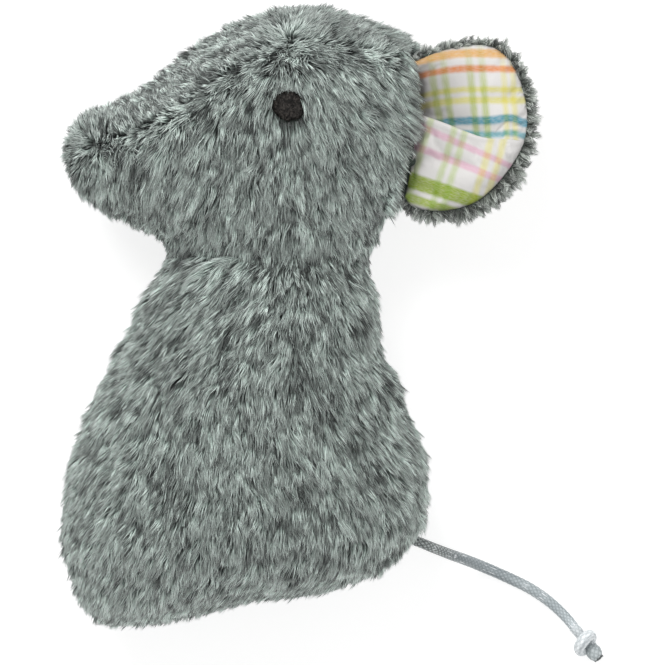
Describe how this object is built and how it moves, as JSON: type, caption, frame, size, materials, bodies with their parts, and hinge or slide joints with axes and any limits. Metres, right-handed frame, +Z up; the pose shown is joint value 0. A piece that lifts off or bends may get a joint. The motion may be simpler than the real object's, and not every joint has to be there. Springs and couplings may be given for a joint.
{
  "type": "mouse cat toy",
  "caption": "Stuffed plush mouse for cats to bat, bite and carry, with a pointed snout, embroidered eyes, padded plaid ears and a knotted cord tail.",
  "frame": {"origin": "on the surface that the toy lies on, under the middle of its length and width without the tail", "axes": "+Z up, out of the mouse's left side; +Y from the base of the body to the crown, the longest extent; +X from the nose to the back of the head"},
  "size_m": [0.13, 0.1582, 0.0466],
  "materials": {
    "plush": "matte",
    "plaid_cotton": "matte",
    "polyester_fill": "matte",
    "seam_thread": "matte",
    "eye_thread": "satin",
    "satin_cord": "satin"
  },
  "bodies": {
    "torso": {"body_panel_left": "plush", "body_panel_right": "plush", "head_panel_left": "plush", "head_panel_right": "plush", "head_gusset": "plush", "body_filling": "polyester_fill", "head_filling": "polyester_fill", "eye_left": "eye_thread", "eye_right": "eye_thread", "neck_seam_thread": "seam_thread", "back_seam_thread": "seam_thread", "belly_seam_thread": "seam_thread", "chin_seam_thread": "seam_thread", "gusset_seam_thread_left": "seam_thread", "gusset_seam_thread_right": "seam_thread", "tail_bar_tack": "seam_thread", "ear_left_base_tab": "plush", "ear_right_base_tab": "plush"},
    "ear_left": {"ear_left_back": "plush", "ear_left_lining": "plaid_cotton", "ear_left_wadding": "polyester_fill"},
    "ear_right": {"ear_right_back": "plush", "ear_right_lining": "plaid_cotton", "ear_right_wadding": "polyester_fill"},
    "tail": {"tail_cord": "satin_cord", "tail_knot": "satin_cord"}
  },
  "joints": [
    {"name": "ear_left_flap", "type": "hinge", "parent": "torso", "child": "ear_left", "pos_m": [0.0258, 0.04476, 0.0305], "axis": [-0.0648, -0.9979, 0], "range_deg": [-8, 85], "stiffness_Nm_per_rad": 0.02},
    {"name": "ear_right_flap", "type": "hinge", "parent": "torso", "child": "ear_right", "pos_m": [0.0258, 0.04476, 0.0135], "axis": [0.0648, 0.9979, 0], "range_deg": [-8, 85], "stiffness_Nm_per_rad": 0.02},
    {"name": "tail_swing", "type": "hinge", "parent": "torso", "child": "tail", "pos_m": [0.02772, -0.05424, 0.022], "axis": [0, 0, 1], "range_deg": [-60, 45]}
  ]
}
